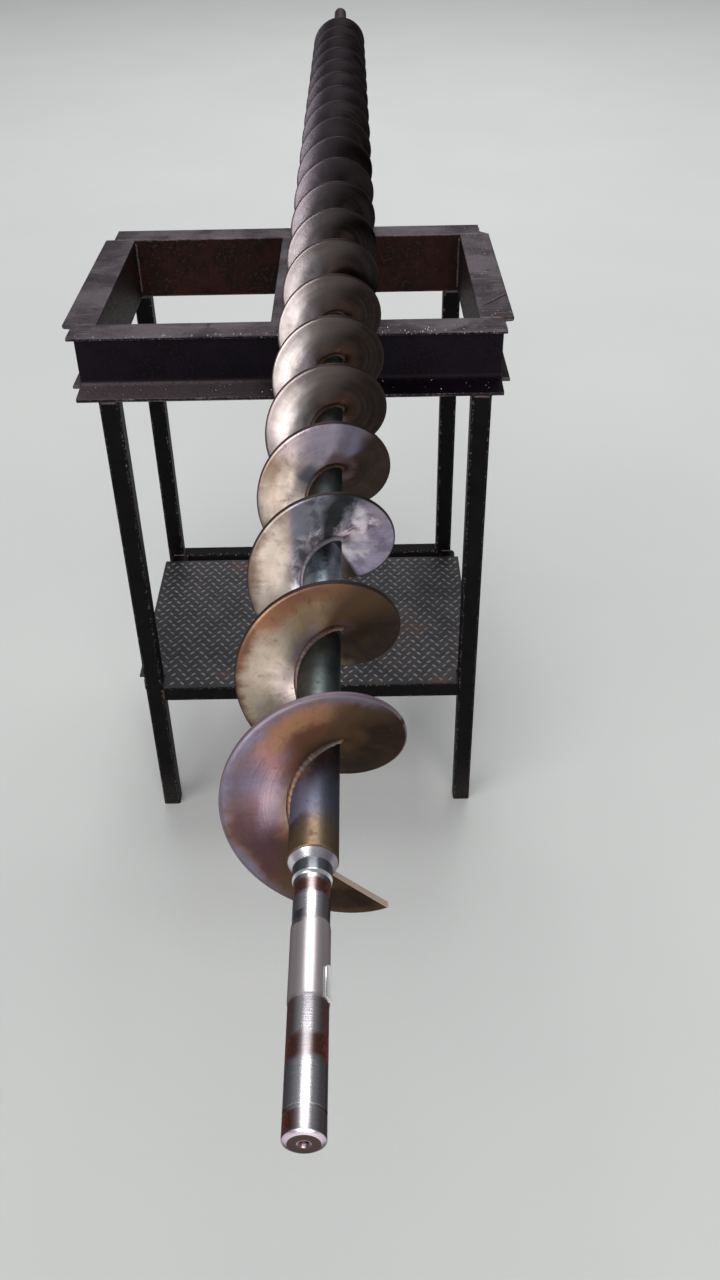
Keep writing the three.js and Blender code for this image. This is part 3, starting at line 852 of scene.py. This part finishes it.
lathe_piece("far_plug", [
    (0.05, PIPE_END - 60), (13.5, PIPE_END - 60), (13.5, PIPE_END - 0.1), (14.2, PIPE_END),
    (14.5, PIPE_END + 0.5), (14.5, SCREW_END - 1.2), (14.2, SCREW_END - 0.4), (13.4, SCREW_END),
    (3.7, SCREW_END), (3.2, SCREW_END - 0.3), (1.4, SCREW_END - 3.4), (0.05, SCREW_END - 4),
], steel_plug)

# Weld that joins the pipe to the plug
radial = radial_directions(np.linspace(0, TAU * 1.02, 180))
path = np.array([AXIS_X, PIPE_END - 0.4, AXIS_Z]) + 15.6 * radial
rod = bead(path, radial, 1.8, 4.0, 31, sides=10, ripple=0.2)
weld = add_mesh("pipe_weld_far", rod, steel_weld, sharp=70)


def key_piece():
    """Bar key with eased edges and one rounded end, lying in its seat."""
    length, half, low, high = 23.0, 3.5, 8.3, 14.3
    outline = [(-half, 0), (half, 0)]
    for k in range(9):
        a = math.pi * k / 8
        outline.append((half * math.cos(a), length - half + half * math.sin(a)))
    outline = np.array(outline)
    middle = np.array([0, length / 2])
    rings, wear = [], []
    for height, ease, worn in ((low, 0, 0), (high - 0.7, 0, 0.2), (high - 0.2, 0.25, 1), (high, 0.8, 0.8)):
        eased = outline - np.sign(outline - middle) * ease
        rings.append(np.stack([eased[:, 0], JOURNAL_END + eased[:, 1], np.full(len(eased), height)], axis=1))
        wear += [worn] * len(eased)
    points, faces = loft(rings)
    turned = Matrix.Rotation(math.radians(60), 3, "Y")
    points = np.array([tuple(turned @ Vector(p)) for p in points]) + np.array([AXIS_X, 0, AXIS_Z])
    piece = add_mesh("shaft_key_skin", (points, faces), steel_key, sharp=50, wear=wear)
    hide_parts("shaft_key")


key_piece()


# Bench rails: rolled channel with tapered flanges and round roots
def channel_section():
    """(across, height, wear) round the section, the web at across 0."""
    half = [(0, 45, 0), (0, 20, 0), (0, 5, 0.1), (0, 1.2, 1), (0.35, 0.35, 1), (1.2, 0, 1), (4, 0, 0.1)]
    half += [(14, 0, 0), (25, 0, 0), (36, 0, 0), (46, 0, 0.1), (48.6, 0, 0.9), (49.6, 0.4, 1)]
    half += [(50, 1.4, 1), (50, 3.0, 0.6), (49.6, 4.6, 0.8), (48.6, 5.6, 0.6)]
    taper = 0.08
    half += [(a, 5.9 + (47 - a) * taper, 0.1) for a in (47, 40, 30, 20, 13)]
    root = 5.9 + (47 - 13) * taper
    half += [(13 - 8 * math.sin(t), root + 8 - 8 * math.cos(t), 0) for t in QUARTER[1:]]
    half += [(RAIL_WEB, 30, 0), (RAIL_WEB, 45, 0)]
    return half + [(a, RAIL_HEIGHT - h, w) for a, h, w in reversed(half)]


def rail(node, start, end, across, material):
    """A channel from start to end, at its web; across is the way that its flanges point."""
    start, end, across = (np.array((*v, 0), float) for v in (start, end, across))
    length = np.linalg.norm(end - start)
    inside = np.linspace(20, length - 20, max(3, round(length / 40)))
    rings, wear = [], []
    for s in (0, 0.5, 3, *inside, length - 3, length - 0.5, length):
        at_end = s in (0, length)
        least_wear = 1.0 if at_end else 0.7 if s in (0.5, length - 0.5) else 0.0
        ease = 0.35 if at_end else 0.0
        ring = []
        for a, h, w in channel_section():
            a += ease if a < 25 else -ease
            h += ease if h < 50 else -ease
            ring.append(start + (end - start) * s / length + across * a + np.array([0, 0, RAIL_BOTTOM + h]))
            wear.append(max(w, least_wear))
        rings.append(ring)
    piece = add_mesh(f"{node}_skin", loft(rings), material, sharp=32, wear=wear)
    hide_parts(node)


rail("rail_front", (-LONG_HALF, FRONT_WEB), (LONG_HALF, FRONT_WEB), (0, -1), paint_front)
rail("rail_back", (-LONG_HALF, BACK_WEB), (LONG_HALF, BACK_WEB), (0, 1), paint_back)
rail("rail_left", (-SIDE_WEB, FRONT_WEB), (-SIDE_WEB, BACK_WEB), (-1, 0), paint_side)
rail("rail_right", (SIDE_WEB, FRONT_WEB), (SIDE_WEB, BACK_WEB), (1, 0), paint_side)
rail("rail_middle", (MIDDLE_WEB, FRONT_WEB), (MIDDLE_WEB, BACK_WEB), (1, 0), paint_middle)


# Legs and shelf rails: square tubes with round corners
def tube_loop(half, corner):
    """(a, b, wear) round a square with round corners."""
    centre = half - corner
    loop = []
    for quarter in range(4):
        turn = quarter * math.pi / 2
        c, s = round(math.cos(turn)), round(math.sin(turn))
        side = [(half, -half + corner + 3.5, 0), (half, half - corner - 3.5, 0)]
        arc = [(centre + corner * math.cos(t), centre + corner * math.sin(t), 1) for t in QUARTER]
        loop += [(a * c - b * s, a * s + b * c, w) for a, b, w in side + arc]
    return loop


def tube(node, start, end):
    """A tube from start to end, open at both, its outer skin first and then its bore."""
    start, end = np.array(start, float), np.array(end, float)
    axis = end - start
    length = np.linalg.norm(axis)
    axis /= length
    one = np.array([1.0, 0, 0]) if abs(axis[0]) < 0.5 else np.array([0, 1.0, 0])
    two = np.cross(axis, one)
    inside = np.linspace(80, length - 80, max(2, round(length / 90)))
    stations = [0, 0.4, 4, 40, *inside, length - 4, length - 0.4, length]
    outer, bore = tube_loop(TUBE_HALF, 3.4), tube_loop(TUBE_HALF - TUBE_WALL, 1.4)
    rings, wear = [], []
    for s in stations:
        at_end = s in (0, length)
        shrink = (TUBE_HALF - 0.4) / TUBE_HALF if at_end else 1.0
        rings.append([start + axis * s + (one * a + two * b) * shrink for a, b, _ in outer])
        wear += [1.0 if at_end else w for _, _, w in outer]
    for s in reversed(stations):
        rings.append([start + axis * s + one * a + two * b for a, b, _ in bore])
        wear += [0.3] * len(bore)
    piece = add_mesh(f"{node}_skin", loft(rings, close=True), paint_tube, sharp=30, wear=wear)
    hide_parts(node)


for place, (x, y) in LEGS.items():
    tube(f"leg_{place}", (x, y, 0), (x, y, RAIL_BOTTOM))
for place, (start, end) in SHELF_RAILS.items():
    tube(f"shelf_rail_{place}", (*start, SHELF_RAIL_Z), (*end, SHELF_RAIL_Z))


def lug(x, y, turn):
    """A lens-shaped lug of the tread plate."""
    rings = []
    for share, height in ((1.0, -0.2), (0.62, 0.75 * LUG_HEIGHT), (0.12, LUG_HEIGHT)):
        ring = []
        for k in range(8):
            long = LUG_HALF_LONG * share * math.cos(TAU * k / 8)
            short = LUG_HALF_SHORT * share * math.sin(TAU * k / 8)
            ring.append((
                x + long * math.cos(turn) - short * math.sin(turn),
                y + long * math.sin(turn) + short * math.cos(turn),
                PLATE_HIGH + height,
            ))
        rings.append(ring)
    return loft(rings)


def shelf_piece():
    """Tread plate, notched round the front legs, its lugs turned to and fro."""
    front, back, side = FRONT_LEG_Y - TUBE_HALF, -126.0, 297.0
    notch_left, notch_right, notch_back = -250.5, 265.0, -497.0
    outline = [(notch_left, front), (notch_right, front), (notch_right, notch_back), (side, notch_back)]
    outline += [(side, back), (-side, back), (-side, notch_back), (notch_left, notch_back)]
    parts = [loft([[(x, y, z) for x, y in outline] for z in (PLATE_LOW, PLATE_HIGH)])]
    wear = [0.0] * 16
    for row, y in enumerate(np.arange(front + 8, back - 6, LUG_PITCH_Y)):
        first = -side + 8 + row % 2 * LUG_PITCH_X / 2
        for column, x in enumerate(np.arange(first, side - 6, LUG_PITCH_X)):
            if y < notch_back + 7 and not notch_left + 7 < x < notch_right - 7:
                continue
            parts.append(lug(x, y, math.radians(45 if (row + column) % 2 else -45)))
            wear += [0.0] * 8 + [0.8] * 8 + [1.0] * 8
    piece = add_mesh("shelf_plate_skin", merge(parts), steel_tread, sharp=55, wear=wear)
    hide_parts("shelf_plate")


shelf_piece()


# Welds of the bench
def straight_bead(start, end, out, radius, seed, flat=0.8):
    """A bead from start to end that strays a little to its sides."""
    start, end = np.array(start, float), np.array(end, float)
    length = np.linalg.norm(end - start)
    count = max(8, round(length / 1.1))
    path = start + (end - start) * np.linspace(0, 1, count)[:, None]
    side = np.cross(end - start, np.array(out, float))
    side /= np.linalg.norm(side)
    sway = wave(seed + 500, 0.01, 0.04, 4)(np.linspace(0, length, count))
    path = path + side * (0.5 * sway)[:, None]
    return bead(path, out, radius, 3.2, seed, sides=8, ripple=0.2, flat=flat)


def upright_bead(corner, short, out, radius, seed):
    """A bead up a corner between two rails, short of their top and their bottom by so much."""
    return straight_bead((*corner, RAIL_BOTTOM + short), (*corner, RAIL_TOP - short), out, radius, seed)


def bench_beads():
    """The beads of the bench, each from a seed of its own."""
    beads = []
    seed = 100
    top, bottom, tube_face = RAIL_TOP - 0.1, RAIL_BOTTOM + 0.1, TUBE_HALF - 0.2
    for sign in (-1, 1):
        for web, inward in ((FRONT_WEB, 1), (BACK_WEB, -1)):
            seed += 10
            # Across the top, ground nearly flush, down the inside and the outside corner, and below
            start, end = (sign * (SIDE_WEB + 2), web, top), (sign * (LONG_HALF - 1), web, top)
            beads.append(straight_bead(start, end, (0, 0, 1), 3.2, seed, 0.22))
            corner = (sign * (SIDE_WEB - 0.6), web + inward * 0.6)
            beads.append(upright_bead(corner, 6, (-sign, inward, 0), 3.0, seed + 1))
            corner = (sign * (SIDE_WEB + RAIL_WEB + 0.5), web + inward * 0.5)
            beads.append(upright_bead(corner, 14, (sign, inward, 0), 2.6, seed + 2))
            start, end = (sign * (SIDE_WEB + 4), web, bottom), (sign * (LONG_HALF - 1.5), web, bottom)
            beads.append(straight_bead(start, end, (0, 0, -1), 3.0, seed + 3, 0.6))
    # The middle rail's ends: across the top, and down both sides of its web
    for web, inward in ((FRONT_WEB, 1), (BACK_WEB, -1)):
        seed += 10
        start, end = (MIDDLE_WEB + 1, web, top), (MIDDLE_WEB + RAIL_FLANGE - 1, web, top)
        beads.append(straight_bead(start, end, (0, 0, 1), 3.0, seed, 0.22))
        corner = (MIDDLE_WEB - 0.5, web + inward * 0.6)
        beads.append(upright_bead(corner, 6, (-1, inward, 0), 3.0, seed + 1))
        corner = (MIDDLE_WEB + RAIL_WEB + 0.5, web + inward * 0.6)
        beads.append(upright_bead(corner, 14, (1, inward, 0), 2.6, seed + 2))
    # Round the top of each leg
    for x, y in LEGS.values():
        for dx, dy in ((1, 0), (-1, 0), (0, 1), (0, -1)):
            seed += 1
            at = np.array([x + dx * tube_face, y + dy * tube_face, RAIL_BOTTOM - 1])
            half = np.array([dy * 12.0, dx * 12.0, 0])
            beads.append(straight_bead(at - half, at + half, (dx, dy, -0.6), 2.4, seed))
    # The shelf rails' ends: above, below and up one side
    (front_left, front_right), (rear_left, rear_right) = SHELF_RAILS["front"], SHELF_RAILS["rear"]
    (left_front, left_rear), (right_front, right_rear) = SHELF_RAILS["left"], SHELF_RAILS["right"]
    for (x, y), (dx, dy) in (
        (front_left, (1, 0)), (front_right, (-1, 0)), (rear_left, (1, 0)), (rear_right, (-1, 0)),
        (left_front, (0, 1)), (right_front, (0, 1)), (left_rear, (0, -1)), (right_rear, (0, -1)),
    ):
        foot = np.array([x + dx * 0.4, y + dy * 0.4, 0])
        half = np.array([dy * 11.5, dx * 11.5, 0])
        for lift in (1, -1):
            seed += 1
            at = foot + (0, 0, SHELF_RAIL_Z + lift * (TUBE_HALF - 0.4))
            beads.append(straight_bead(at - half, at + half, (dx, dy, lift), 2.2, seed))
        seed += 1
        at = foot + (-dy * tube_face, -dx * tube_face, SHELF_RAIL_Z)
        beads.append(straight_bead(at - (0, 0, 12), at + (0, 0, 12), (dx - dy, dy - dx, 0), 2.0, seed))
    return beads


welds = add_mesh("bench_welds", merge(bench_beads()), steel_bench_weld, sharp=70)

# An old weld left across the right rail's top flange
rod = straight_bead((289, -430, RAIL_TOP + 0.1), (327, -386, RAIL_TOP + 0.1), (0, 0, 1), 3.0, 61, 0.55)
scar = add_mesh("weld_scar", rod, steel_bench_weld, sharp=70)

# Corner fill where the back rail stops short of the right rail's edge
corner_outline = [(LONG_HALF - 1, BACK_WEB), (328.4, BACK_WEB), (LONG_HALF - 1, BACK_WEB + 14.5)]
wedge = loft([[(x, y, z) for x, y in corner_outline] for z in (RAIL_TOP - 7.6, RAIL_TOP - 0.4)])
fill = add_mesh("corner_fill", wedge, steel_bench_weld, sharp=30)


# Spatter: small round drops along the front lip and beside the welds
def drop(center, radius, normal=(0, 0, 1)):
    """A flattened drop that rises along the normal from its center."""
    turn = Vector(normal).to_track_quat("Z", "Y").to_matrix()
    rings = []
    for share, height in ((0.9, -0.3), (1.0, 0.15), (0.75, 0.6), (0.3, 0.85)):
        ring = []
        for k in range(8):
            a = TAU * k / 8
            offset = Vector((radius * share * math.cos(a), radius * share * math.sin(a), radius * height))
            ring.append(tuple(Vector(center) + turn @ offset))
        rings.append(ring)
    return loft(rings)


draw = random.Random(7)
drops = []
for _ in range(70):
    x = draw.triangular(-310, 312, 180)
    place = (x, FRONT_LIP + abs(draw.gauss(0, 9)), RAIL_TOP)
    drops.append(drop(place, draw.uniform(0.6, 1.9)))
for _ in range(26):
    place = (draw.uniform(-310, 312), FRONT_LIP + draw.uniform(0.2, 0.8), RAIL_TOP - 3.5 + draw.uniform(0, 3))
    drops.append(drop(place, draw.uniform(0.5, 1.3), (0, -1, 0)))
for _ in range(46):
    place = (draw.uniform(-300, 310), FRONT_LIP - 0.2 + draw.uniform(6, 44), RAIL_BOTTOM + 8.9)
    drops.append(drop(place, draw.uniform(0.6, 1.6)))
for _ in range(30):
    place = (draw.uniform(281, 327), draw.uniform(-520, -60), RAIL_TOP)
    drops.append(drop(place, draw.uniform(0.5, 1.4)))
spatter = add_mesh("weld_spatter", merge(drops), steel_spatter, sharp=80)


def floor():
    """A level floor, 90 m to each side."""
    half = 90.0
    mesh = bpy.data.meshes.new("floor")
    corners = [(-half, -half, 0), (half, -half, 0), (half, half, 0), (-half, half, 0)]
    mesh.from_pydata(corners, [], [(0, 1, 2, 3)])
    mesh.materials.append(floor_paint())
    made = add_object("floor", mesh)


floor()


# Soft studio light
def softbox(name, place, aim, size, power, color):
    """A rectangular light that looks from place to aim."""
    data = bpy.data.lights.new(name, "AREA")
    data.shape = "RECTANGLE"
    data.size, data.size_y = size
    data.energy = power
    data.color = color
    made = add_object(name, data)
    made.location = place
    made.rotation_euler = (Vector(aim) - Vector(place)).to_track_quat("-Z", "Y").to_euler()


world = bpy.data.worlds.new("studio")
world.use_nodes = True
world.node_tree.nodes["Background"].inputs["Color"].default_value = (0.90, 0.95, 1.0, 1)
world.node_tree.nodes["Background"].inputs["Strength"].default_value = 0.25
bpy.context.scene.world = world
bpy.context.scene.view_settings.view_transform = "Standard"

softbox("front", (1.06, -10.0, 4.3), (0.06, -0.6, 0.95), (6.4, 3.2), 680, (1.0, 0.99, 0.98))
softbox("overhead", (0.3, 4.4, 6.5), (0.3, 4.4, 0.0), (4.4, 7.2), 350, (0.98, 0.99, 1.0))

sun = bpy.data.lights.new("high_window", "SUN")
sun.energy = 1.0
sun.angle = math.radians(40)
high_window = add_object("high_window", sun)
high_window.rotation_euler = Vector((0.45, 0.5, -0.74)).to_track_quat("-Z", "Y").to_euler()
